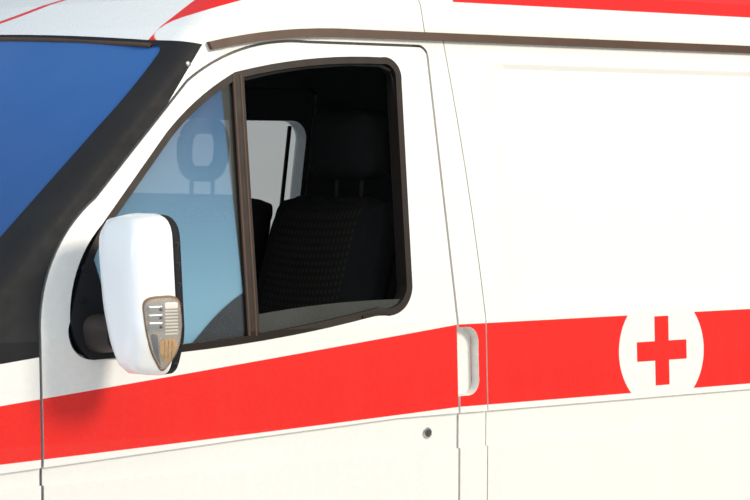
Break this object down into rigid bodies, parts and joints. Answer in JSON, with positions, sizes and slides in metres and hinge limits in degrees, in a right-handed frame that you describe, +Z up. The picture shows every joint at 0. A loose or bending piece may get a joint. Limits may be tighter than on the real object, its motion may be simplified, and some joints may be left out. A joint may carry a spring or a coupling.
{
  "type": "ambulance",
  "caption": "Van ambulance with opening cab doors, rear doors and bonnet, steered front wheels and twin rear wheels.",
  "frame": {"origin": "on the ground, below the middle of the vehicle's length and width", "axes": "+X forward, +Y to the vehicle's left, +Z up"},
  "size_m": [5.4867, 2.4138, 2.33],
  "materials": {
    "body_paint": "body paint",
    "black_trim": "black trim",
    "rubber": "rubber",
    "glass": "glass",
    "lamp_clear": "lamp clear",
    "lamp_red": "lamp red",
    "lamp_blue": "lamp blue",
    "tyre": "tyre",
    "steel_paint": "steel paint",
    "chassis_paint": "chassis paint",
    "cast_iron": "cast iron",
    "fabric": "fabric",
    "dash_plastic": "dash plastic"
  },
  "bodies": {
    "vehicle": {"roof_cab": "body_paint", "roof_load": "body_paint", "load_side_left": "body_paint", "load_side_right": "body_paint", "door_frames": "body_paint", "cab_frame": "body_paint", "screen_trim": "black_trim", "windscreen": "glass", "cowl": "black_trim", "front_wings": "body_paint", "nose_panel": "body_paint", "headlamps": "lamp_clear", "grille": "black_trim", "front_bumper": "black_trim", "sliding_door": "body_paint", "sliding_door_glass": "glass", "floor": "steel_paint", "chassis_frame": "chassis_paint", "front_axle": "chassis_paint", "leaf_springs": "chassis_paint", "rear_axle": "chassis_paint", "prop_shaft": "chassis_paint", "engine": "cast_iron", "rear_step": "black_trim", "tail_lamps": "lamp_red", "drip_rails": "black_trim", "driver_seat": "fabric", "passenger_seat": "fabric", "dashboard": "dash_plastic", "steering_wheel": "dash_plastic", "light_bar_base": "black_trim", "light_bar_domes": "lamp_blue", "exhaust": "cast_iron", "fuel_tank": "chassis_paint"},
    "door_left": {"door_left": "body_paint", "door_seal_left": "rubber", "door_glass_left": "glass", "mirror_base_left": "black_trim", "mirror_left": "body_paint"},
    "door_right": {"door_right": "body_paint", "door_seal_right": "rubber", "door_glass_right": "glass", "mirror_base_right": "black_trim", "mirror_right": "body_paint"},
    "rear_door_left": {"rear_door_left": "body_paint", "rear_glass_left": "glass"},
    "rear_door_right": {"rear_door_right": "body_paint", "rear_glass_right": "glass"},
    "bonnet": {"bonnet": "body_paint"},
    "knuckle_left": {"knuckle_left": "cast_iron"},
    "knuckle_right": {"knuckle_right": "cast_iron"},
    "wheel_front_left": {"tyre_front_left": "tyre", "rim_front_left": "steel_paint"},
    "wheel_front_right": {"tyre_front_right": "tyre", "rim_front_right": "steel_paint"},
    "wheels_rear_left": {"tyres_rear_left": "tyre", "rims_rear_left": "steel_paint"},
    "wheels_rear_right": {"tyres_rear_right": "tyre", "rims_rear_right": "steel_paint"}
  },
  "joints": [
    {"name": "steer_left", "type": "hinge", "parent": "vehicle", "child": "knuckle_left", "pos_m": [1.725, 0.762, 0.342], "axis": [0, 0, 1], "range_deg": [-32, 32]},
    {"name": "steer_right", "type": "hinge", "parent": "vehicle", "child": "knuckle_right", "pos_m": [1.725, -0.762, 0.342], "axis": [0, 0, 1], "range_deg": [-32, 32]},
    {"name": "spin_front_left", "type": "hinge", "parent": "knuckle_left", "child": "wheel_front_left", "pos_m": [1.725, 0.85, 0.342], "axis": [0, 1, 0], "continuous": true},
    {"name": "spin_front_right", "type": "hinge", "parent": "knuckle_right", "child": "wheel_front_right", "pos_m": [1.725, -0.85, 0.342], "axis": [0, 1, 0], "continuous": true},
    {"name": "spin_rear_left", "type": "hinge", "parent": "vehicle", "child": "wheels_rear_left", "pos_m": [-1.175, 0.78, 0.342], "axis": [0, 1, 0], "continuous": true},
    {"name": "spin_rear_right", "type": "hinge", "parent": "vehicle", "child": "wheels_rear_right", "pos_m": [-1.175, -0.78, 0.342], "axis": [0, 1, 0], "continuous": true},
    {"name": "door_left_hinge", "type": "hinge", "parent": "vehicle", "child": "door_left", "pos_m": [1.241, 0.97459, 0.8], "axis": [0, 0, -1], "range_deg": [0, 70]},
    {"name": "door_right_hinge", "type": "hinge", "parent": "vehicle", "child": "door_right", "pos_m": [1.241, -0.97459, 0.8], "axis": [0, 0, 1], "range_deg": [0, 70]},
    {"name": "rear_door_left_hinge", "type": "hinge", "parent": "vehicle", "child": "rear_door_left", "pos_m": [-2.706, 0.882, 1.2], "axis": [0, 0, -1], "range_deg": [0, 180]},
    {"name": "rear_door_right_hinge", "type": "hinge", "parent": "vehicle", "child": "rear_door_right", "pos_m": [-2.706, -0.882, 1.2], "axis": [0, 0, 1], "range_deg": [0, 180]},
    {"name": "bonnet_hinge", "type": "hinge", "parent": "vehicle", "child": "bonnet", "pos_m": [1.65, 0, 1.267], "axis": [0, -1, 0], "range_deg": [0, 60]}
  ],
  "couplings": [
    {"joint": "steer_right", "follows": "steer_left", "ratio": 1}
  ]
}
